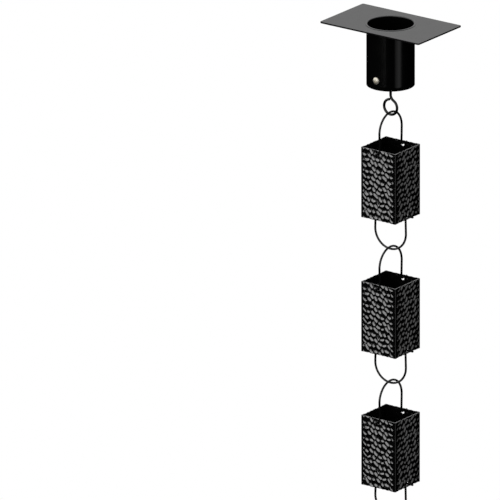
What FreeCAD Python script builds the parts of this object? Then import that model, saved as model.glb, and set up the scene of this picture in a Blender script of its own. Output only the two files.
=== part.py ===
"""Rain chain with hammered square cups, hung from a gutter outlet adapter.

Millimetres, +Z up. The origin is on the spout's axis, in the plane of the adapter plate's
underside, which lies on the gutter floor. X runs along the plate's long side. The chain
hangs down -Z: hook, then for each unit an upper bail, a square cup and a lower bail.
"""
import FreeCAD, Part
import math
import os

# Adapter plate, a flat rectangle that lies on the gutter floor
plate_length = 145.0
plate_width = 87.0
plate_thickness = 2.0
plate_corner_radius = 2.0
plate_hole_clearance = 0.1

# Spout tube, rolled over the plate's top at its upper end
spout_radius = 28.9
spout_wall = 1.2
spout_length = 74.0
lip_overhang = 1.4
lip_height = 1.0
lip_inner_roll = 1.8
lip_edge_radius = 0.5

# Cross screw and nut near the spout's lower end
screw_radius = 2.0
screw_tip_reach = 4.8
screw_height = 12.0
screw_hole_clearance = 0.15
screw_head_radius = 4.0
screw_head_height = 2.6
screw_head_edge_height = 0.9
screw_tip_chamfer = 0.5
recess_width = 1.0
recess_span = 4.4
recess_depth = 1.3
nut_flats = 7.0
nut_thickness = 3.2
nut_bore_clearance = 0.05
nut_chamfer = 0.5

# Hanger hook, one bent wire with an eye over the screw and a ring below the spout
hook_wire_radius = 1.6
hook_eye_clearance = 0.3
hook_ring_radius = 9.5
hook_drop = 40.4
hook_ring_neck_radius = 8.0
hook_eye_neck_radius = 4.0
hook_end_gap = 0.9

# Chain
cup_count = 3
link_gap = 0.3

# Square cup of hammered sheet, open at both ends
cup_width = 51.3
cup_height = 88.0
cup_corner_radius = 1.8
sheet_thickness = 1.5
hole_radius = 3.0
hole_inset = 5.5

# Hammered relief on the cup's four outer faces
relief_margin = 1.2
dents_across = 7
dents_down = 14
dent_depth = 0.9
dent_depth_spread = 0.2
ridge_depth = 0.05
ridge_depth_spread = 0.14
dent_wander = 0.3
relief_overrun = 1.5

# Bail, one wire bent as an arch whose two ends turn outwards through the cup's walls
wire_radius = 1.3
bail_rise = 43.3
bail_arch_radius = 22.6
bail_bend_radius = 2.0
bail_wall_gap = 0.1
pin_clearance = 0.05
bail_end_length = 7.5

X_AXIS = FreeCAD.Vector(1, 0, 0)
Y_AXIS = FreeCAD.Vector(0, 1, 0)
Z_AXIS = FreeCAD.Vector(0, 0, 1)
ORIGIN = FreeCAD.Vector(0, 0, 0)

# Places and lengths that follow from the sizes above
screw_length = 2 * spout_radius + nut_thickness + screw_tip_reach
screw_z = screw_height - spout_length
ring_z = screw_z - hook_drop
first_seat_z = ring_z - hook_ring_radius
half_cup = cup_width / 2
pin_inset = hole_inset - (hole_radius - wire_radius - pin_clearance)
bail_apex = pin_inset + bail_rise - wire_radius
link_step = 2 * wire_radius + link_gap
hook_step = hook_wire_radius + wire_radius + link_gap


def planar_point(u, w):
    """A point of the XZ plane, where wires and profiles are drawn."""
    return FreeCAD.Vector(u, 0, w)


def arc_edge(centre, radius, start, end):
    """Arc in the XZ plane from start to end, in degrees anticlockwise from +X; end may be below start."""
    points = []
    for angle in (start, (start + end) / 2, end):
        turn = math.radians(angle)
        points.append(planar_point(centre[0] + radius * math.cos(turn), centre[1] + radius * math.sin(turn)))
    return Part.Arc(*points).toShape()


def line_edge(start, end):
    return Part.LineSegment(start, end).toShape()


def highest_end(edge):
    return max((v.Point for v in edge.Vertexes), key=lambda point: point.z)


def round_wire(edges, radius):
    """Solid wire of round section along edges that follow each other without a kink."""
    path = Part.Wire(Part.__sortEdges__(edges))
    first = path.OrderedEdges[0]
    heading = first.tangentAt(first.FirstParameter)
    section = Part.Wire(Part.makeCircle(radius, path.OrderedVertexes[0].Point, heading))
    return path.makePipeShell([section], True, False)


def make_adapter_plate():
    plate = Part.makeBox(
        plate_length, plate_width, plate_thickness,
        FreeCAD.Vector(-plate_length / 2, -plate_width / 2, 0),
    )
    upright = [e for e in plate.Edges if abs(e.tangentAt(0).z) > 0.9]
    plate = plate.makeFillet(plate_corner_radius, upright)
    hole = Part.makeCylinder(spout_radius + plate_hole_clearance, 3 * plate_thickness,
                             FreeCAD.Vector(0, 0, -plate_thickness))
    return plate.cut(hole)


def make_adapter_spout():
    """Tube turned about Z, its upper end rolled outwards over the plate."""
    inner = spout_radius - spout_wall
    top = plate_thickness + lip_height
    rim = spout_radius + lip_overhang
    roll_centre = (inner + lip_inner_roll, top - lip_inner_roll)
    edge_centre = (rim - lip_edge_radius, top - lip_edge_radius)
    outline = [
        line_edge(planar_point(inner, -spout_length), planar_point(inner, roll_centre[1])),
        arc_edge(roll_centre, lip_inner_roll, 180, 90),
        line_edge(planar_point(roll_centre[0], top), planar_point(edge_centre[0], top)),
        arc_edge(edge_centre, lip_edge_radius, 90, 0),
        line_edge(planar_point(rim, edge_centre[1]), planar_point(rim, plate_thickness)),
        line_edge(planar_point(rim, plate_thickness), planar_point(spout_radius, plate_thickness)),
        line_edge(planar_point(spout_radius, plate_thickness), planar_point(spout_radius, -spout_length)),
        line_edge(planar_point(spout_radius, -spout_length), planar_point(inner, -spout_length)),
    ]
    tube = Part.Face(Part.Wire(Part.__sortEdges__(outline))).revolve(ORIGIN, Z_AXIS, 360)
    drill = Part.makeCylinder(screw_radius + screw_hole_clearance, 4 * spout_radius,
                              FreeCAD.Vector(0, -2 * spout_radius, screw_z), Y_AXIS)
    return tube.cut(drill)


def make_cross_screw():
    """Pan head screw through the spout along Y, its head on the -Y side."""
    dome_rise = screw_head_height - screw_head_edge_height
    dome_radius = (screw_head_radius ** 2 + dome_rise ** 2) / (2 * dome_rise)
    spread = math.degrees(math.asin(screw_head_radius / dome_radius))
    dome_centre = (0, screw_head_height - dome_radius)
    tip = -screw_length
    outline = [
        arc_edge(dome_centre, dome_radius, 90, 90 - spread),
        line_edge(planar_point(screw_head_radius, screw_head_edge_height), planar_point(screw_head_radius, 0)),
        line_edge(planar_point(screw_head_radius, 0), planar_point(screw_radius, 0)),
        line_edge(planar_point(screw_radius, 0), planar_point(screw_radius, tip + screw_tip_chamfer)),
        line_edge(planar_point(screw_radius, tip + screw_tip_chamfer),
                  planar_point(screw_radius - screw_tip_chamfer, tip)),
        line_edge(planar_point(screw_radius - screw_tip_chamfer, tip), planar_point(0, tip)),
        line_edge(planar_point(0, tip), planar_point(0, screw_head_height)),
    ]
    screw = Part.Face(Part.Wire(Part.__sortEdges__(outline))).revolve(ORIGIN, Z_AXIS, 360)
    for span, width in ((recess_span, recess_width), (recess_width, recess_span)):
        slot = Part.makeBox(span, width, 2 * recess_depth,
                            FreeCAD.Vector(-span / 2, -width / 2, screw_head_height - recess_depth))
        screw = screw.cut(slot)
    screw.rotate(ORIGIN, X_AXIS, 90)
    screw.translate(FreeCAD.Vector(0, -spout_radius, screw_z))
    return screw


def make_cross_nut():
    """Hexagon nut on the screw's end, against the spout's +Y side."""
    corner = nut_flats / math.sqrt(3)
    ring = [
        FreeCAD.Vector(corner * math.cos(math.radians(60 * k)), corner * math.sin(math.radians(60 * k)), 0)
        for k in range(7)
    ]
    nut = Part.Face(Part.makePolygon(ring)).extrude(FreeCAD.Vector(0, 0, nut_thickness))
    cone_radius = nut_flats / 2 + nut_thickness
    cone = Part.makeCone(cone_radius, nut_flats / 2 - nut_chamfer / 2, nut_thickness + nut_chamfer / 2)
    nut = nut.common(cone)
    nut = nut.cut(Part.makeCylinder(screw_radius + nut_bore_clearance, nut_thickness))
    nut.rotate(ORIGIN, X_AXIS, -90)
    nut.translate(FreeCAD.Vector(0, spout_radius, screw_z))
    return nut


def eye_edges(radius, neck_radius, centre_z, up):
    """Edges of an open eye on a stem along x = 0: the neck bends aside, then the eye runs round to near the neck.

    up is 1 where the stem comes from above the eye and -1 where it comes from below.
    Returns the eye's arc, the neck's arc and the height where the neck leaves the stem.
    """
    neck_rise = math.sqrt(radius ** 2 + 2 * neck_radius * radius)
    meet = math.degrees(math.atan2(neck_rise, neck_radius))
    end_height = math.sqrt(radius ** 2 - hook_wire_radius ** 2)
    neck_x = neck_radius - math.sqrt(neck_radius ** 2 - (neck_rise - end_height) ** 2)
    end_x = neck_x - 2 * hook_wire_radius - hook_end_gap
    end_angle = math.degrees(math.acos(max(-1.0, end_x / radius)))
    eye = arc_edge((0, centre_z), radius, up * meet, up * (end_angle - 360))
    neck = arc_edge((neck_radius, centre_z + up * neck_rise), neck_radius, 180 * up, up * (180 + meet))
    return eye, neck, centre_z + up * neck_rise


def make_hanger_hook():
    """Bent wire in the XZ plane: a small eye round the screw, a straight stem and a ring."""
    eye_radius = screw_radius + hook_eye_clearance + hook_wire_radius
    ring, ring_neck, stem_low = eye_edges(hook_ring_radius, hook_ring_neck_radius, ring_z, 1)
    eye, eye_neck, stem_high = eye_edges(eye_radius, hook_eye_neck_radius, screw_z, -1)
    stem = line_edge(planar_point(0, stem_high), planar_point(0, stem_low))
    return round_wire([eye, eye_neck, stem, ring_neck, ring], hook_wire_radius)


def make_bail():
    """Arch in the XZ plane over a pin line at z = 0, its ends turned outwards along that line.

    The legs stand inside the cup's walls and lean together, tangent to the arch and to the end bends.
    """
    arch_z = bail_apex - bail_arch_radius
    bend_x = half_cup - sheet_thickness - bail_wall_gap
    reach = math.hypot(bend_x, arch_z - bail_bend_radius)
    splay = math.acos((bail_arch_radius + bail_bend_radius) / reach)
    splay = math.degrees(splay - math.atan2(arch_z - bail_bend_radius, bend_x))
    edges = [arc_edge((0, arch_z), bail_arch_radius, splay, 180 - splay)]
    for side in (1, -1):
        bend = arc_edge((side * bend_x, bail_bend_radius), bail_bend_radius,
                        90 + side * (90 + splay), 90 + side * 180)
        turn = math.radians(90 - side * (90 - splay))
        foot_of_arch = planar_point(bail_arch_radius * math.cos(turn),
                                    arch_z + bail_arch_radius * math.sin(turn))
        leg = line_edge(foot_of_arch, highest_end(bend))
        pin = line_edge(planar_point(side * bend_x, 0), planar_point(side * (half_cup + bail_end_length), 0))
        edges += [leg, bend, pin]
    return round_wire(edges, wire_radius)


def scatter(a, b, c):
    """A repeatable number from 0 to 1 for three whole numbers."""
    value = math.sin(a * 12.9898 + b * 78.233 + c * 37.719) * 43758.5453
    return value - math.floor(value)


def relief_cutter(face):
    """Solid that hammers one outer face: its inner side is a net of dents with raised ridges between.

    It is drawn on the face of the cup that looks along -Y, with the cup's rim at z = 0.
    The dents are six-sided cells of a wandering honeycomb, each a shallow pit of flat facets.
    """
    half = half_cup - cup_corner_radius - relief_margin
    low = -cup_height - relief_overrun
    step_u = half / dents_across
    step_w = (cup_height + 2 * relief_overrun) / dents_down
    outside = -half_cup - sheet_thickness

    def net_point(column, line):
        at_side = column in (0, 2 * dents_across)
        at_end = line in (0, dents_down)
        zigzag = 1 if (column - line) % 2 == 0 else -1
        shift_u = 0 if at_side else (scatter(column, line, face) - 0.5) * 2 * dent_wander * 2 * step_u
        shift_w = 0 if at_end else zigzag * step_w / 6
        if not at_end:
            shift_w += (scatter(column, line, face + 11) - 0.5) * 2 * dent_wander * step_w
        depth = ridge_depth + ridge_depth_spread * scatter(column, line, face + 23)
        return FreeCAD.Vector(-half + column * step_u + shift_u, -half_cup + depth,
                              low + line * step_w + shift_w)

    net = [[net_point(c, n) for n in range(dents_down + 1)] for c in range(2 * dents_across + 1)]
    faces = []
    for row in range(dents_down):
        for left in range(-(row % 2), 2 * dents_across, 2):
            columns = [c for c in range(left, left + 3) if 0 <= c <= 2 * dents_across]
            ring = [net[c][row] for c in columns] + [net[c][row + 1] for c in reversed(columns)]
            bottom = ring[0]
            for corner in ring[1:]:
                bottom = bottom + corner
            bottom = bottom * (1.0 / len(ring))
            bottom.y = -half_cup + dent_depth + dent_depth_spread * (scatter(left, row, face + 31) - 0.5)
            for here, there in zip(ring, ring[1:] + ring[:1]):
                faces.append(Part.Face(Part.makePolygon([bottom, here, there, bottom])))

    left_side = [net[0][n] for n in range(dents_down + 1)]
    right_side = [net[-1][n] for n in range(dents_down + 1)]
    bottom_side = [column[0] for column in net]
    top_side = [column[-1] for column in net]
    corners = []
    for edge_of_net in (left_side, right_side, bottom_side, top_side):
        out = [FreeCAD.Vector(p.x, outside, p.z) for p in (edge_of_net[0], edge_of_net[-1])]
        faces.append(Part.Face(Part.makePolygon(edge_of_net + [out[1], out[0], edge_of_net[0]])))
        corners.append(out)
    front = [corners[0][0], corners[0][1], corners[1][1], corners[1][0], corners[0][0]]
    faces.append(Part.Face(Part.makePolygon(front)))
    skin = Part.makeCompound(faces)
    skin.sewShape()
    cutter = Part.makeSolid(skin.Shells[0])
    if cutter.Volume < 0:
        cutter.reverse()
    return cutter


def rounded_square(width, corner_radius, height, low):
    """Upright square column about Z with rounded corners."""
    block = Part.makeBox(width, width, height, FreeCAD.Vector(-width / 2, -width / 2, low))
    upright = [e for e in block.Edges if abs(e.tangentAt(0).z) > 0.9]
    return block.makeFillet(corner_radius, upright)


def make_cup():
    """Hammered square cup with its rim at z = 0, holes for the bails near both ends."""
    cup = rounded_square(cup_width, cup_corner_radius, cup_height, -cup_height)
    bore = rounded_square(cup_width - 2 * sheet_thickness, cup_corner_radius - sheet_thickness,
                          cup_height + 2 * relief_overrun, -cup_height - relief_overrun)
    cup = cup.cut(bore)
    for face in range(4):
        cutter = relief_cutter(face)
        cutter.rotate(ORIGIN, Z_AXIS, 90 * face)
        cup = cup.cut(cutter)
    upper_holes = Part.makeCylinder(hole_radius, 2 * cup_width,
                                    FreeCAD.Vector(0, -cup_width, -hole_inset), Y_AXIS)
    lower_holes = Part.makeCylinder(hole_radius, 2 * cup_width,
                                    FreeCAD.Vector(-cup_width, 0, hole_inset - cup_height), X_AXIS)
    return cup.cut(upper_holes).cut(lower_holes)


def unit_pieces():
    """One unit with its cup's rim at z = 0: upper bail in YZ, cup, lower bail in XZ."""
    upper = make_bail()
    lower = upper.copy()
    upper.rotate(ORIGIN, Z_AXIS, 90)
    upper.translate(FreeCAD.Vector(0, 0, -pin_inset))
    lower.rotate(ORIGIN, X_AXIS, 180)
    lower.translate(FreeCAD.Vector(0, 0, pin_inset - cup_height))
    return {"upper_bail": upper, "cup": make_cup(), "lower_bail": lower}


def rim_heights():
    """Height of each cup's rim, worked down the chain from the hook's ring."""
    heights = []
    rim = first_seat_z + hook_step - bail_apex + pin_inset
    for _ in range(cup_count):
        heights.append(rim)
        rim -= cup_height + 2 * (bail_apex - pin_inset) - link_step
    return heights


pieces = {
    "adapter_plate": make_adapter_plate(),
    "adapter_spout": make_adapter_spout(),
    "cross_screw": make_cross_screw(),
    "cross_nut": make_cross_nut(),
    "hanger_hook": make_hanger_hook(),
}
unit = unit_pieces()
for number, rim in enumerate(rim_heights(), 1):
    for name, shape in unit.items():
        pieces[f"{name}_{number}"] = shape.translated(FreeCAD.Vector(0, 0, rim))

os.makedirs("parts", exist_ok=True)
for name, shape in pieces.items():
    shape.exportStep(f"parts/{name}.step")
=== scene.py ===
# A rain chain: three hammered square cups on wire bails, hung from a gutter outlet by a hook on a cross screw.
# The pieces follow in the order in which the chain is put together, from the gutter downwards.
import bpy
import math
from mathutils import Matrix, Quaternion, Vector


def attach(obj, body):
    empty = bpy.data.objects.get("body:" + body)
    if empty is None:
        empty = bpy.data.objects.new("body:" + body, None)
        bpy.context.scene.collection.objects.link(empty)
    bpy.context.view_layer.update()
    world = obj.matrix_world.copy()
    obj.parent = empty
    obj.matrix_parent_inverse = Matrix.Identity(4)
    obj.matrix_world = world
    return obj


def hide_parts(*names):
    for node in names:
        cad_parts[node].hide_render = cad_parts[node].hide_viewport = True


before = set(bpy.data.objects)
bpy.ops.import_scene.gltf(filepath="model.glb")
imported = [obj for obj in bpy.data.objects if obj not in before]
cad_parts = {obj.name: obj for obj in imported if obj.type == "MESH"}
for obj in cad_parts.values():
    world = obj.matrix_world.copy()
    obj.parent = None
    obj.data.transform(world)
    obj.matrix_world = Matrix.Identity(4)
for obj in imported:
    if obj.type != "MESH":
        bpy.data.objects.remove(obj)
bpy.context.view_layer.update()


# Camera
# A long lens far off, a little above the chain and to the right of its front faces, as in the photograph.
# Lens, place and turn are fitted to the plate's corners, the cups' edges and corners and the spout's edge.
aim = Vector((0, 0, -0.290))
stand_distance = 20.556
stand_azimuth, stand_height = math.radians(36.005), math.radians(18.754)
turn_azimuth, turn_height, roll = math.radians(36.499), math.radians(18.733), math.radians(-0.158)
stand = Vector((math.sin(stand_azimuth) * math.cos(stand_height),
                -math.cos(stand_azimuth) * math.cos(stand_height), math.sin(stand_height)))
back = Vector((math.sin(turn_azimuth) * math.cos(turn_height),
               -math.cos(turn_azimuth) * math.cos(turn_height), math.sin(turn_height)))
level = Vector((math.cos(turn_azimuth), math.sin(turn_azimuth), 0))
across = math.cos(roll) * level + math.sin(roll) * back.cross(level)
upward = back.cross(across)
lens = bpy.data.cameras.new("long_lens")
lens.sensor_width = 36
lens.lens = 1239.7
lens.clip_start = 1
lens.clip_end = 60
camera = bpy.data.objects.new("camera", lens)
bpy.context.collection.objects.link(camera)
turned = Matrix((across, upward, back)).transposed().to_4x4()
camera.matrix_world = Matrix.Translation(aim + stand_distance * stand) @ turned
bpy.context.scene.camera = camera
bpy.context.scene.view_settings.view_transform = "Standard"


# Studio
# White paper hangs behind the chain, and a grey wall stands at its right. A wide, tilted softbox shines from
# the front left; the cups have one of their own, which reaches lower and is brighter. The ceiling is white, a
# small white table stands far below, and the rest of the room is nearly dark.
world = bpy.data.worlds.new("studio")
bpy.context.scene.world = world
world.use_nodes = True
nodes, links = world.node_tree.nodes, world.node_tree.links
nodes.clear()
direction = nodes.new("ShaderNodeTexCoord")
split = nodes.new("ShaderNodeSeparateXYZ")
links.new(direction.outputs["Generated"], split.inputs[0])


def soft_step(source, start, end):
    """0 where a value is below start, 1 above end and a smooth rise between."""
    step = nodes.new("ShaderNodeMapRange")
    step.interpolation_type = "SMOOTHSTEP"
    step.inputs["From Min"].default_value = start
    step.inputs["From Max"].default_value = end
    links.new(source, step.inputs["Value"])
    return step.outputs["Result"]


def towards(azimuth, height=0):
    """How far a direction points to an azimuth, which is 0 along -Y and 90 along +X, and to a height."""
    azimuth, height = math.radians(azimuth), math.radians(height)
    dot = nodes.new("ShaderNodeVectorMath")
    dot.operation = "DOT_PRODUCT"
    dot.inputs[1].default_value = (math.sin(azimuth) * math.cos(height),
                                   -math.cos(azimuth) * math.cos(height), math.sin(height))
    links.new(direction.outputs["Generated"], dot.inputs[0])
    return dot.outputs["Value"]


def together(first, second, operation="MULTIPLY"):
    """Joins two values, each a socket or a float, by one sum."""
    joined = nodes.new("ShaderNodeMath")
    joined.operation = operation
    for socket, value in zip(joined.inputs, (first, second)):
        if isinstance(value, float):
            socket.default_value = value
        else:
            links.new(value, socket)
    return joined.outputs[0]


above = split.outputs["Z"]
paper = together(soft_step(towards(222), 0.35, 0.75), soft_step(above, 0.0, 0.12))
side_wall = together(soft_step(towards(108), 0.7, 0.85), soft_step(towards(52, 70), -0.05, 0.07))
side_strip = soft_step(towards(72), 0.9, 0.95)
ceiling = soft_step(above, 0.65, 0.85)
haze = soft_step(above, 0.03, 0.2)
seen_in_gloss = 0.0
for surface, brightness in ((paper, 0.7), (side_wall, 0.42), (side_strip, 0.3), (ceiling, 0.9), (haze, 0.1)):
    seen_in_gloss = together(together(surface, brightness), seen_in_gloss, "ADD")
all_round = 0.2
path = nodes.new("ShaderNodeLightPath")
gloss = together(path.outputs["Is Glossy Ray"], path.outputs["Is Transmission Ray"], "MAXIMUM")
room = nodes.new("ShaderNodeMix")
links.new(gloss, room.inputs["Factor"])
room.inputs["A"].default_value = all_round
links.new(seen_in_gloss, room.inputs["B"])
shown = nodes.new("ShaderNodeMix")
links.new(path.outputs["Is Camera Ray"], shown.inputs["Factor"])
links.new(room.outputs["Result"], shown.inputs["A"])
shown.inputs["B"].default_value = 1.0
studio_light = nodes.new("ShaderNodeBackground")
studio_light.inputs["Color"].default_value = (1, 1, 1, 1)
links.new(shown.outputs["Result"], studio_light.inputs["Strength"])
studio_output = nodes.new("ShaderNodeOutputWorld")
links.new(studio_light.outputs[0], studio_output.inputs["Surface"])

softbox_azimuth, softbox_tilt = math.radians(-25), math.radians(-14)
softbox_distance, softbox_width = 4.4, 10.0


def add_softbox(name, height, tall, brightness):
    """A softbox with a collection that says what it lights; the cups are put in it once they are made."""
    height = math.radians(height)
    side = Vector((math.sin(softbox_azimuth) * math.cos(height),
                   -math.cos(softbox_azimuth) * math.cos(height), math.sin(height)))
    light = bpy.data.lights.new(name, "AREA")
    light.shape = "RECTANGLE"
    light.size = softbox_width
    light.size_y = tall
    light.energy = brightness * math.pi * softbox_width * tall
    softbox = bpy.data.objects.new(name, light)
    bpy.context.collection.objects.link(softbox)
    softbox.location = aim + softbox_distance * side
    softbox.rotation_mode = "QUATERNION"
    softbox.rotation_quaternion = side.to_track_quat("Z", "Y") @ Quaternion((0, 0, 1), softbox_tilt)
    softbox.visible_camera = False
    softbox.light_linking.receiver_collection = bpy.data.collections.new(name)
    return softbox.light_linking.receiver_collection


lit_by_main = add_softbox("softbox", height=22.5, tall=5.0, brightness=1.5)
lit_by_cup_softbox = add_softbox("cup_softbox", height=21.8, tall=5.15, brightness=2.05)


def deselect():
    """Goes back to object mode with nothing selected."""
    if bpy.context.mode != "OBJECT":
        bpy.ops.object.mode_set(mode="OBJECT")
    bpy.ops.object.select_all(action="DESELECT")


table_radius, table_height, table_own_glow = 0.5, -1.4, 0.7
deselect()
bpy.ops.mesh.primitive_circle_add(vertices=96, radius=table_radius, fill_type="NGON",
                                  location=(0, 0, table_height))
table = bpy.context.object
table.name = "white_table"
white_paint = bpy.data.materials.new("white_table_paint")
white_paint.use_nodes = True
nodes, links = white_paint.node_tree.nodes, white_paint.node_tree.links
paint = nodes["Principled BSDF"]
paint.inputs["Base Color"].default_value = (0.8, 0.8, 0.8, 1)
paint.inputs["Roughness"].default_value = 0.8
glow = nodes.new("ShaderNodeEmission")
path = nodes.new("ShaderNodeLightPath")
seen_share = nodes.new("ShaderNodeMath")
seen_share.operation = "MULTIPLY"
seen_share.inputs[1].default_value = table_own_glow
links.new(path.outputs["Is Camera Ray"], seen_share.inputs[0])
mixed = nodes.new("ShaderNodeMixShader")
links.new(seen_share.outputs[0], mixed.inputs["Fac"])
links.new(paint.outputs[0], mixed.inputs[1])
links.new(glow.outputs[0], mixed.inputs[2])
links.new(mixed.outputs[0], nodes["Material Output"].inputs["Surface"])
table.data.materials.append(white_paint)


# Adapter plate
# A cut rectangle of sheet steel that lies on the gutter floor, with a round hole for the spout.
# Its cut edges are lightly rounded, and it is sprayed with the same half-gloss black enamel as all the sheet.
def make_spray_group():
    """The enamel's uneven shine and fine orange peel, shared by every coated piece."""
    group = bpy.data.node_groups.new("sprayed_enamel", "ShaderNodeTree")
    for name in ("Roughness", "Patchiness", "Peel Size", "Peel Depth"):
        group.interface.new_socket(name, in_out="INPUT", socket_type="NodeSocketFloat")
    group.interface.new_socket("Roughness", in_out="OUTPUT", socket_type="NodeSocketFloat")
    group.interface.new_socket("Normal", in_out="OUTPUT", socket_type="NodeSocketVector")
    nodes, links = group.nodes, group.links
    inputs, outputs = nodes.new("NodeGroupInput"), nodes.new("NodeGroupOutput")
    place = nodes.new("ShaderNodeTexCoord")
    patches = nodes.new("ShaderNodeTexNoise")
    patches.inputs["Scale"].default_value = 60.0
    patches.inputs["Detail"].default_value = 4.0
    links.new(place.outputs["Object"], patches.inputs["Vector"])
    centred = nodes.new("ShaderNodeMath")
    centred.operation = "SUBTRACT"
    centred.inputs[1].default_value = 0.5
    links.new(patches.outputs["Fac"], centred.inputs[0])
    uneven = nodes.new("ShaderNodeMath")
    uneven.operation = "MULTIPLY_ADD"
    links.new(centred.outputs[0], uneven.inputs[0])
    links.new(inputs.outputs["Patchiness"], uneven.inputs[1])
    links.new(inputs.outputs["Roughness"], uneven.inputs[2])
    links.new(uneven.outputs[0], outputs.inputs["Roughness"])
    peel = nodes.new("ShaderNodeTexNoise")
    peel.inputs["Detail"].default_value = 2.0
    links.new(place.outputs["Object"], peel.inputs["Vector"])
    links.new(inputs.outputs["Peel Size"], peel.inputs["Scale"])
    bump = nodes.new("ShaderNodeBump")
    links.new(inputs.outputs["Peel Depth"], bump.inputs["Distance"])
    links.new(peel.outputs["Fac"], bump.inputs["Height"])
    links.new(bump.outputs["Normal"], outputs.inputs["Normal"])
    return group


def enamel(name, roughness, patchiness, peel_size, peel_depth, coat):
    """Black enamel with its own shine and orange peel; coat is how much clear gloss lies over it."""
    material = bpy.data.materials.new(name)
    material.use_nodes = True
    nodes, links = material.node_tree.nodes, material.node_tree.links
    shader = nodes["Principled BSDF"]
    shader.inputs["Base Color"].default_value = (0.0015, 0.0015, 0.0015, 1)
    shader.inputs["IOR"].default_value = 1.6 if coat else 1.5
    shader.inputs["Coat Weight"].default_value = coat
    shader.inputs["Coat Roughness"].default_value = 0.09
    shader.inputs["Coat IOR"].default_value = 1.7
    spray = nodes.new("ShaderNodeGroup")
    spray.node_tree = spray_group
    for socket, value in (("Roughness", roughness), ("Patchiness", patchiness),
                          ("Peel Size", peel_size), ("Peel Depth", peel_depth)):
        spray.inputs[socket].default_value = value
    links.new(spray.outputs["Roughness"], shader.inputs["Roughness"])
    links.new(spray.outputs["Normal"], shader.inputs["Normal"])
    return material


def take(piece):
    """Selects one piece alone and makes it the active one."""
    deselect()
    piece.select_set(True)
    bpy.context.view_layer.objects.active = piece


def pick(piece, kind, test):
    """Opens a piece in edit mode with only those vertices, edges or faces selected that pass a test."""
    if bpy.context.mode != "OBJECT":
        bpy.ops.object.mode_set(mode="OBJECT")
    mesh = piece.data
    bpy.context.view_layer.objects.active = piece
    bpy.ops.object.mode_set(mode="EDIT")
    bpy.ops.mesh.select_mode(type=kind)
    bpy.ops.mesh.select_all(action="DESELECT")
    bpy.ops.object.mode_set(mode="OBJECT")
    if kind == "VERT":
        for vertex in mesh.vertices:
            vertex.select = test(vertex.co)
    elif kind == "EDGE":
        for edge in mesh.edges:
            edge.select = test(*(mesh.vertices[i].co for i in edge.vertices))
    else:
        for face in mesh.polygons:
            face.select = test(face.center)
    bpy.ops.object.mode_set(mode="EDIT")


def use_modifier(piece, kind, **settings):
    """Adds a modifier, sets it and applies it."""
    take(piece)
    modifier = piece.modifiers.new(kind.lower(), kind)
    for key, value in settings.items():
        setattr(modifier, key, value)
    bpy.ops.object.modifier_apply(modifier=modifier.name)


def drill(piece, *tools):
    """Cuts tools out of a piece and throws them away."""
    for tool in tools:
        use_modifier(piece, "BOOLEAN", operation="DIFFERENCE", solver="EXACT", object=tool)
        bpy.data.objects.remove(tool, do_unlink=True)


def dress(piece, name, finish, body, node, smooth):
    """Settles a finished piece: its place goes into its mesh, and it is smoothed, coated and set on its body."""
    take(piece)
    bpy.ops.object.transform_apply(location=True, rotation=True, scale=True)
    bpy.ops.object.shade_smooth_by_angle(angle=math.radians(smooth))
    piece.name = piece.data.name = name
    piece.data.materials.clear()
    piece.data.materials.append(finish)
    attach(piece, body)
    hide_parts(node)


def round_tool(radius, length, height, turn=(0, 0, 0), sides=40):
    """A round tool to drill with, its middle on the chain's axis at a height."""
    deselect()
    bpy.ops.mesh.primitive_cylinder_add(vertices=sides, radius=radius * mm, depth=length * mm,
                                        location=(0, 0, height * mm), rotation=turn)
    return bpy.context.object


spray_group = make_spray_group()
plate_enamel = enamel("plate_enamel", 0.2, 0.1, 500.0, 0.00002, 0.0)
# lengths are in millimetres from here on
mm = 0.001
plate_length, plate_width, plate_sheet = 145.0, 87.0, 2.0
plate_corner, edge_break, plate_hole = 2.0, 0.15, 29.0
deselect()
bpy.ops.mesh.primitive_cube_add(size=1, location=(0, 0, plate_sheet / 2 * mm),
                                scale=(plate_length * mm, plate_width * mm, plate_sheet * mm))
plate = bpy.context.object
bpy.ops.object.transform_apply(location=True, scale=True)
pick(plate, "EDGE", lambda a, b: abs(a.z - b.z) > plate_sheet / 2 * mm)
bpy.ops.mesh.bevel(offset=plate_corner * mm, segments=6, affect="EDGES")
pick(plate, "EDGE", lambda a, b: abs(a.z - b.z) < 1e-6)
bpy.ops.mesh.bevel(offset=edge_break * mm, segments=2, affect="EDGES")
drill(plate, round_tool(plate_hole, 10, plate_sheet / 2, sides=128))
dress(plate, "gutter_plate", plate_enamel, "adapter", "adapter_plate", smooth=20)


# Spout
# A round tube of sheet steel pressed through the plate. Its top is rolled outwards over the plate's hole,
# its lower edge is cut square, and the cross screw goes through it near that edge.
spout_enamel = enamel("spout_enamel", 0.12, 0.06, 500.0, 0.000005, 0.0)
spout_radius, bore_radius, inner_roll = 28.9, 27.7, 0.6
# radius and height of each ring: down the outside, round the lower edge, up the bore and over the lip
spout_profile = [(spout_radius, z) for z in (2.0, -5.0, -20.0, -40.0, -55.0, -58.0, -66.0, -69.0, -73.6)]
spout_profile += [(28.78, -73.88), (28.5, -74.0), (28.1, -74.0), (27.82, -73.88)]
spout_profile += [(bore_radius, z) for z in (-73.6, -69.0, -66.0, -58.0, -55.0, -30.0, 1.2)]
for step in range(1, 6):
    angle = math.radians(180 - 17 * step)
    spout_profile.append((bore_radius + inner_roll + inner_roll * math.cos(angle),
                          1.7 + inner_roll * math.sin(angle)))
spout_profile += [(28.9, 2.35), (29.5, 2.4), (29.9, 2.4), (30.2, 2.25), (30.3, 2.1), (30.2, 2.0)]
screw_height, screw_hole = -62.0, 2.15
across_y = (math.pi / 2, 0, 0)


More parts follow.
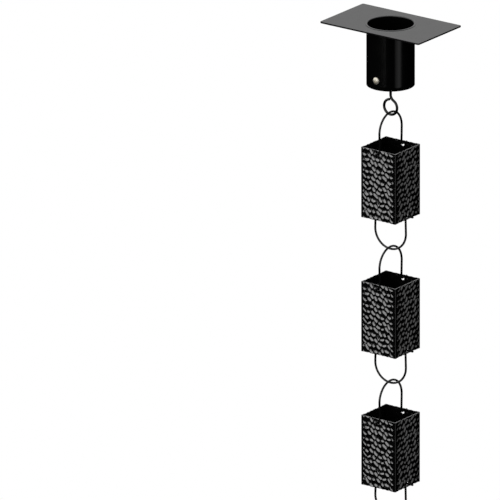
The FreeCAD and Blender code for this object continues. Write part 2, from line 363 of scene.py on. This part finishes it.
def seal(hole_sides=None):
    """Merges doubled rings, fills holes of up to a number of sides (0 for any) and turns all faces outwards."""
    bpy.ops.mesh.select_all(action="SELECT")
    bpy.ops.mesh.remove_doubles(threshold=0.000001)
    if hole_sides is not None:
        bpy.ops.mesh.fill_holes(sides=hole_sides)
        bpy.ops.mesh.select_all(action="SELECT")
    bpy.ops.mesh.normals_make_consistent(inside=False)


def turn_round(profile, sides, closed):
    """A circle at the first ring of a profile, extruded and resized from ring to ring."""
    deselect()
    radius, height = profile[0]
    bpy.ops.mesh.primitive_circle_add(vertices=sides, radius=radius * mm, location=(0, 0, height * mm))
    piece = bpy.context.object
    bpy.ops.object.transform_apply(location=True)
    bpy.ops.object.mode_set(mode="EDIT")
    bpy.ops.mesh.select_mode(type="VERT")
    bpy.ops.mesh.select_all(action="SELECT")
    for next_radius, next_height in profile[1:] + ([profile[0]] if closed else []):
        bpy.ops.mesh.extrude_region_move(TRANSFORM_OT_translate={"value": (0, 0, (next_height - height) * mm)})
        ratio = next_radius / radius
        bpy.ops.transform.resize(value=(ratio, ratio, 1), center_override=(0, 0, next_height * mm))
        radius, height = next_radius, next_height
    seal(None if closed else 0)
    bpy.ops.object.mode_set(mode="OBJECT")
    return piece


spout = turn_round(spout_profile, 128, closed=True)
drill(spout, round_tool(screw_hole, 80, screw_height, across_y))
dress(spout, "outlet_spout", spout_enamel, "adapter", "adapter_spout", smooth=40)


# Cross screw and nut
# A pan head machine screw of plated steel goes through the spout and carries the chain; a hexagon nut holds it.
# The head has a cross recess, and the shank's far half is threaded.
def plated_steel(name):
    """Bright plating with fine turning marks and a slightly blotchy shine."""
    material = bpy.data.materials.new(name)
    material.use_nodes = True
    nodes, links = material.node_tree.nodes, material.node_tree.links
    shader = nodes["Principled BSDF"]
    shader.inputs["Metallic"].default_value = 1.0
    place = nodes.new("ShaderNodeTexCoord")
    blotch = nodes.new("ShaderNodeTexNoise")
    blotch.inputs["Scale"].default_value = 400.0
    blotch.inputs["Detail"].default_value = 3.0
    links.new(place.outputs["Object"], blotch.inputs["Vector"])
    tint = nodes.new("ShaderNodeMix")
    tint.data_type = "RGBA"
    tint.inputs["A"].default_value = (0.84, 0.80, 0.69, 1)
    tint.inputs["B"].default_value = (0.66, 0.62, 0.53, 1)
    links.new(blotch.outputs["Fac"], tint.inputs["Factor"])
    links.new(tint.outputs["Result"], shader.inputs["Base Color"])
    shine = nodes.new("ShaderNodeMapRange")
    shine.inputs["To Min"].default_value = 0.42
    shine.inputs["To Max"].default_value = 0.62
    links.new(blotch.outputs["Fac"], shine.inputs["Value"])
    links.new(shine.outputs["Result"], shader.inputs["Roughness"])
    marks = nodes.new("ShaderNodeTexNoise")
    marks.inputs["Scale"].default_value = 2500.0
    links.new(place.outputs["Object"], marks.inputs["Vector"])
    bump = nodes.new("ShaderNodeBump")
    bump.inputs["Distance"].default_value = 0.00001
    links.new(marks.outputs["Fac"], bump.inputs["Height"])
    links.new(bump.outputs["Normal"], shader.inputs["Normal"])
    return material


steel = plated_steel("plated_steel")
# the shank is thinner where it carries the thread, and the head's dome is a flat arc, 2.6 mm high at its crown
screw_profile = [(1.3, -65.8), (1.65, -65.4), (1.65, -57.0), (1.65, -34.0), (2.0, -33.6), (2.0, 0.0),
                 (4.1, 0.0), (4.3, 0.15), (4.3, 0.85), (4.2, 1.05), (3.85, 1.28), (3.3, 1.6), (2.6, 1.93),
                 (1.8, 2.23), (1.0, 2.49), (0.4, 2.58)]
screw = turn_round(screw_profile, 48, closed=False)
recess_length, recess_width, recess_tall, recess_middle, taper = 5.6, 1.7, 2.6, 2.65, 0.55
recess_floor = recess_middle - recess_tall / 2
for spin in (0, math.pi / 2):
    deselect()
    bpy.ops.mesh.primitive_cube_add(size=1, location=(0, 0, recess_middle * mm), rotation=(0, 0, spin),
                                    scale=(recess_length * mm, recess_width * mm, recess_tall * mm))
    wedge = bpy.context.object
    bpy.ops.object.transform_apply(location=True, rotation=True, scale=True)
    pick(wedge, "FACE", lambda centre: centre.z < (recess_floor + 0.5) * mm)
    bpy.ops.transform.resize(value=(taper, taper, 1), center_override=(0, 0, recess_floor * mm))
    bpy.ops.object.mode_set(mode="OBJECT")
    drill(screw, wedge)
pitch, turns, thread_start = 0.7, 44, -64.8
thread_profile = ((1.6, 0.02), (2.0, 0.26), (1.6, 0.68), (2.0, 0.44))
deselect()
bpy.ops.mesh.primitive_plane_add(size=mm)
thread = bpy.context.object
for vertex, (radius, height) in zip(thread.data.vertices, thread_profile):
    vertex.co = (radius * mm, 0, (thread_start + height) * mm)
use_modifier(thread, "SCREW", axis="Z", angle=2 * math.pi, screw_offset=pitch * mm, iterations=turns,
             steps=20, render_steps=20)
bpy.ops.object.mode_set(mode="EDIT")
seal(4)
take(screw)
thread.select_set(True)
bpy.ops.object.join()
screw.rotation_euler = across_y
screw.location = (0, -spout_radius * mm, screw_height * mm)
dress(screw, "cross_screw_steel", steel, "adapter", "cross_screw", smooth=35)

nut_flats, nut_thickness, nut_bore, nut_break = 7.0, 3.2, 2.05, 0.25
deselect()
bpy.ops.mesh.primitive_cylinder_add(vertices=6, radius=nut_flats / math.sqrt(3) * mm, depth=nut_thickness * mm,
                                    location=(0, 0, nut_thickness / 2 * mm), rotation=(0, 0, math.pi / 6))
nut = bpy.context.object
bpy.ops.object.transform_apply(location=True, rotation=True)
bpy.ops.object.mode_set(mode="EDIT")
bpy.ops.mesh.select_all(action="SELECT")
bpy.ops.mesh.bevel(offset=nut_break * mm, segments=2, affect="EDGES")
drill(nut, round_tool(nut_bore, 10, 0))
nut.rotation_euler = (-math.pi / 2, 0, 0)
nut.location = (0, spout_radius * mm, screw_height * mm)
dress(nut, "cross_nut_steel", steel, "adapter", "cross_nut", smooth=35)


# Hanger hook
# One length of 3.2 mm steel wire, bent cold into a small eye round the screw and a ring below the spout.
# Both loops close beside the stem and are left unwelded. It is coated after bending.
wire_enamel = enamel("wire_enamel", 0.14, 0.06, 1200.0, 0.00001, 0.0)


def wire_start(radius, place, turn, sides=20):
    """A circle across a wire, opened in edit mode and ready to be drawn out."""
    deselect()
    bpy.ops.mesh.primitive_circle_add(vertices=sides, radius=radius * mm,
                                      location=[value * mm for value in place], rotation=turn)
    piece = bpy.context.object
    bpy.ops.object.transform_apply(location=True, rotation=True)
    bpy.ops.object.mode_set(mode="EDIT")
    bpy.ops.mesh.select_mode(type="VERT")
    bpy.ops.mesh.select_all(action="SELECT")
    return piece


def draw_out(x, z, pieces=1):
    """Draws the wire's open end out straight by a step in the XZ plane."""
    for _ in range(pieces):
        step = (x * mm / pieces, 0, z * mm / pieces)
        bpy.ops.mesh.extrude_region_move(TRANSFORM_OT_translate={"value": step})


def bend(x, z, degrees, steps):
    """Bends the wire on round a point of the XZ plane; degrees run from +X towards +Z."""
    bpy.ops.mesh.spin(steps=steps, angle=math.radians(degrees), center=(x * mm, 0, z * mm), axis=(0, 1, 0))


def close_wire(piece, end_break):
    """Closes the wire's cut ends and breaks their edges."""
    seal(0)
    bpy.ops.mesh.select_mode(type="EDGE")
    bpy.ops.mesh.select_all(action="DESELECT")
    bpy.ops.mesh.edges_select_sharp(sharpness=math.radians(60))
    bpy.ops.mesh.bevel(offset=end_break * mm, segments=3, affect="EDGES")
    bpy.ops.object.mode_set(mode="OBJECT")


def loop_shape(radius, neck_radius, wire_radius, end_gap):
    """How a loop joins its stem: the neck's rise, the angle where neck and loop meet, and the loop's sweep."""
    neck_rise = math.sqrt(radius ** 2 + 2 * neck_radius * radius)
    meet = math.degrees(math.atan2(neck_rise, neck_radius))
    end_height = math.sqrt(radius ** 2 - wire_radius ** 2)
    neck_x = neck_radius - math.sqrt(neck_radius ** 2 - (neck_rise - end_height) ** 2)
    end_angle = math.degrees(math.acos(max(-1.0, (neck_x - 2 * wire_radius - end_gap) / radius)))
    return neck_rise, meet, 360 + meet - end_angle


hook_wire, end_gap = 1.6, 0.9
ring_radius, ring_neck, ring_height = 9.5, 8.0, -102.4
eye_radius, eye_neck = 3.9, 4.0
ring_rise, ring_meet, ring_sweep = loop_shape(ring_radius, ring_neck, hook_wire, end_gap)
eye_rise, eye_meet, eye_sweep = loop_shape(eye_radius, eye_neck, hook_wire, end_gap)
stem_low, stem_high = ring_height + ring_rise, screw_height - eye_rise
hook = wire_start(hook_wire, (0, 0, stem_low), (0, 0, 0), sides=24)
draw_out(0, stem_high - stem_low, pieces=4)
bend(eye_neck, stem_high, -eye_meet, 8)
bend(0, screw_height, eye_sweep, 40)
pick(hook, "VERT", lambda place: abs(place.z - stem_low * mm) < 1e-7 and abs(place.x) < 1.1 * hook_wire * mm)
bend(ring_neck, stem_low, ring_meet, 10)
bend(0, ring_height, -ring_sweep, 56)
close_wire(hook, end_break=0.35)
dress(hook, "hook_wire", wire_enamel, "hanger_hook", "hanger_hook", smooth=50)


# Bails
# Each is one piece of 2.6 mm wire: a round arch, two nearly parallel legs inside the cup, and ends bent
# outwards through the holes of two opposite walls. Upper bails stand in the YZ plane, lower ones hang in XZ.
# the arch's top over the ends' axis, its radius, and how far from its middle the ends reach and the bends lie
bail_wire, bail_apex, arch_radius = 1.3, 45.84, 22.6
pin_end, bend_x, bend_radius = 33.15, 24.05, 2.0
arch_z = bail_apex - arch_radius
splay = math.degrees(math.acos((arch_radius + bend_radius) / math.hypot(bend_x, arch_z - bend_radius))
                     - math.atan2(arch_z - bend_radius, bend_x))
bail = wire_start(bail_wire, (pin_end, 0, 0), (0, math.pi / 2, 0))
draw_out(bend_x - pin_end, 0, pieces=2)
bend(bend_x, bend_radius, -(90 - splay), 8)
leg_turn = math.radians(splay)
leg_low = (bend_x - bend_radius * math.cos(leg_turn), bend_radius - bend_radius * math.sin(leg_turn))
leg_top = (arch_radius * math.cos(leg_turn), arch_z + arch_radius * math.sin(leg_turn))
draw_out(leg_top[0] - leg_low[0], leg_top[1] - leg_low[1], pieces=4)
bend(0, arch_z, 90 - splay, 24)
bpy.ops.object.mode_set(mode="OBJECT")
use_modifier(bail, "MIRROR", use_axis=(True, False, False), use_clip=True, merge_threshold=0.00002)
bpy.ops.object.mode_set(mode="EDIT")
close_wire(bail, end_break=0.25)


def copy_of(piece):
    """A second piece of the same shape."""
    take(piece)
    bpy.ops.object.duplicate()
    return bpy.context.object


cup_rims, cup_height, pin_inset = (-150.7, -319.8, -488.9), 88.0, 3.85
for number, rim in enumerate(cup_rims, 1):
    for place, turn, height in (("upper", (0, 0, math.pi / 2), rim - pin_inset),
                                ("lower", (math.pi, 0, 0), rim - cup_height + pin_inset)):
        wire = copy_of(bail)
        wire.rotation_euler = turn
        wire.location = (0, 0, height * mm)
        dress(wire, f"{place}_bail_wire_{number}", wire_enamel, f"{place}_bail_{number}",
              f"{place}_bail_{number}", smooth=50)
bpy.data.objects.remove(bail, do_unlink=True)


# Cups
# Square tubes of thin sheet, open at both ends, with narrow plain bends at the corners and four hammered walls.
# The hammering is a wandering honeycomb of shallow pits with raised ridges between, pressed through the sheet.
# Its rows slant, the other way on each next wall.
cup_enamel = enamel("cup_enamel", 0.15, 0.08, 500.0, 0.00001, 1.0)
cup_half, corner_radius, margin, sheet, inner_share = 25.65, 1.8, 1.2, 1.0, 0.4
upper_hole, upper_hole_depth, lower_hole, lower_hole_depth = 2.35, 4.85, 1.8, 83.9
dents_across, dents_down, overrun, wander, row_sway, slant = 7, 15, 6.5, 0.2, 1.3, 0.24
ridge_depth, ridge_uneven, ridge_crease, pit_floor = 0.18, 0.14, 0.55, 0.22
# width and depth of the steps into a pit; the pits beside the corners are half as wide and shallower
pit_steps, side_pit_steps = ((0.15, 0.05), (0.95, 0.43), (1.05, 0.42)), ((0.15, 0.05), (0.7, 0.28))
wall_half, net_low = cup_half - corner_radius - margin, -cup_height - overrun
step_u, step_w = wall_half / dents_across, (cup_height + 2 * overrun) / dents_down


def scatter(a, b, c):
    """A repeatable number from 0 to 1 for three whole numbers."""
    value = math.sin(a * 12.9898 + b * 78.233 + c * 37.719) * 43758.5453
    return value - math.floor(value)


def hammer_wall(side):
    """One wall as a sheet of pits, made at the front of the cup and then turned to its side."""
    deselect()
    bpy.ops.mesh.primitive_grid_add(x_subdivisions=2 * dents_across, y_subdivisions=dents_down, size=1,
                                    location=(0, -cup_half * mm, (net_low + 0.5 * dents_down * step_w) * mm),
                                    rotation=across_y)
    wall = bpy.context.object
    wall.scale = (2 * wall_half * mm, dents_down * step_w * mm, 1)
    bpy.ops.object.transform_apply(location=True, rotation=True, scale=True)
    # the grid's points slant by rows, are staggered into a honeycomb and wander; those at its edges stay in line
    place_of = {}
    for vertex in wall.data.vertices:
        column = round((vertex.co.x * 1000 + wall_half) / step_u)
        line = round((vertex.co.z * 1000 - net_low) / step_w)
        place_of[vertex.index] = column, line
        shift_u, shift_w = 0.0, (1 if side % 2 else -1) * slant * vertex.co.x * 1000
        if column not in (0, 2 * dents_across):
            shift_u = (scatter(column, line, side) - 0.5) * 4 * wander * step_u
        if line not in (0, dents_down):
            shift_w += (1 if (column - line) % 2 == 0 else -1) * step_w / 6
            loose = 2 * wander if column not in (0, 2 * dents_across) else 0.5 * wander
            shift_w += (scatter(column, line, side + 11) - 0.5) * loose * step_w
            shift_w += row_sway * math.sin(1.15 * column + 0.4 * line + 1.7 * side)
        vertex.co.x += shift_u * mm
        vertex.co.y += (ridge_depth + ridge_uneven * scatter(column, line, side + 23)) * mm
        vertex.co.z += shift_w * mm
    bpy.ops.object.mode_set(mode="EDIT")
    bpy.ops.mesh.select_mode(type="EDGE")
    bpy.ops.mesh.select_all(action="DESELECT")
    bpy.ops.object.mode_set(mode="OBJECT")
    # every second upright edge goes, so that six points are left round each pit
    for edge in wall.data.edges:
        (column, line), (other, higher) = (place_of[i] for i in edge.vertices)
        edge.select = (column == other and (column - min(line, higher)) % 2 == 1
                       and column not in (0, 2 * dents_across))
    bpy.ops.object.mode_set(mode="EDIT")
    bpy.ops.mesh.dissolve_edges(use_verts=False)
    bpy.ops.mesh.select_all(action="SELECT")
    bpy.ops.transform.edge_crease(value=ridge_crease)
    side_pits_at = (wall_half - 1.3 * step_u) * mm
    for at_side, steps in ((False, pit_steps), (True, side_pit_steps)):
        pick(wall, "FACE", lambda centre: (abs(centre.x) > side_pits_at) == at_side and centre.y < -0.02)
        for width, depth in steps:
            bpy.ops.mesh.inset(thickness=width * mm, depth=-depth * mm, use_individual=True,
                               use_even_offset=False)
        if not at_side:
            bpy.ops.mesh.poke(offset=-pit_floor * mm)
    bpy.ops.object.mode_set(mode="OBJECT")
    wall.rotation_euler = (0, 0, side * math.pi / 2)
    bpy.ops.object.transform_apply(rotation=True)
    return wall


walls = [hammer_wall(side) for side in range(4)]
take(walls[0])
for wall in walls:
    wall.select_set(True)
bpy.ops.object.join()
cup = bpy.context.object
edge_at = wall_half * mm
for side, (sign_x, sign_y) in enumerate(((1, -1), (1, 1), (-1, 1), (-1, -1))):
    pick(cup, "EDGE", lambda a, b: all(abs(min(sign_x * p.x, sign_y * p.y) - edge_at) < 1e-6 for p in (a, b)))
    bpy.ops.mesh.bridge_edge_loops(number_cuts=5, interpolation="LINEAR", smoothness=0)
    bpy.ops.object.mode_set(mode="OBJECT")
    # the five cuts go to the bend: its two ends, where it meets the plain margins, and three places round it
    turn = Matrix.Rotation(side * math.pi / 2, 3, "Z")
    for vertex in cup.data.vertices:
        place = turn.transposed() @ vertex.co * 1000
        cut = round((place.x - wall_half) / (cup_half - wall_half) * 6)
        if place.x > wall_half + 0.2 and place.y < -wall_half - 0.2 and 1 <= cut <= 5:
            angle = math.radians(-90 + 22.5 * (cut - 1))
            bent = Vector((cup_half - corner_radius + corner_radius * math.cos(angle),
                           corner_radius - cup_half + corner_radius * math.sin(angle), place.z))
            vertex.co = turn @ bent * mm
use_modifier(cup, "SUBSURF", levels=1, render_levels=1)
for height, out in ((0.0, 1), (-cup_height, -1)):
    bpy.ops.object.mode_set(mode="EDIT")
    bpy.ops.mesh.select_all(action="SELECT")
    bpy.ops.mesh.bisect(plane_co=(0, 0, height * mm), plane_no=(0, 0, out), clear_outer=True,
                        threshold=0.000001)
    bpy.ops.mesh.select_all(action="SELECT")
    bpy.ops.mesh.remove_doubles(threshold=0.000002)
    bpy.ops.mesh.normals_make_consistent(inside=False)
    bpy.ops.object.mode_set(mode="OBJECT")
outer_count = len(cup.data.vertices)
use_modifier(cup, "SOLIDIFY", thickness=sheet * mm, offset=-1, use_even_offset=False)
# pressed through the sheet, the pits come out weaker on its inner side, and the bends keep its thickness
bend_centre = (cup_half - corner_radius) * mm
for outer in range(outer_count):
    place = cup.data.vertices[outer].co
    inner = place.copy()
    reach = max(abs(place.x), abs(place.y))
    if min(abs(place.x), abs(place.y)) <= bend_centre:
        across_wall = 0 if abs(place.x) == reach else 1
        inner_reach = (cup_half - sheet) * mm - inner_share * (cup_half * mm - reach)
        inner[across_wall] = math.copysign(inner_reach, place[across_wall])
    else:
        middle = Vector((math.copysign(bend_centre, place.x), math.copysign(bend_centre, place.y), place.z))
        inner = middle + (place - middle) * (corner_radius - sheet) / corner_radius
    cup.data.vertices[outer_count + outer].co = inner
drill(cup, round_tool(upper_hole, 70, -upper_hole_depth, across_y),
      round_tool(lower_hole, 70, -lower_hole_depth, (0, math.pi / 2, 0)))
for number, rim in enumerate(cup_rims, 1):
    sheet_cup = copy_of(cup)
    sheet_cup.location = (0, 0, rim * mm)
    dress(sheet_cup, f"hammered_cup_{number}", cup_enamel, f"cup_{number}", f"cup_{number}",
          smooth=45)
    for receivers, state in ((lit_by_main, "EXCLUDE"), (lit_by_cup_softbox, "INCLUDE")):
        receivers.objects.link(sheet_cup)
        receivers.collection_objects[-1].light_linking.link_state = state
bpy.data.objects.remove(cup, do_unlink=True)
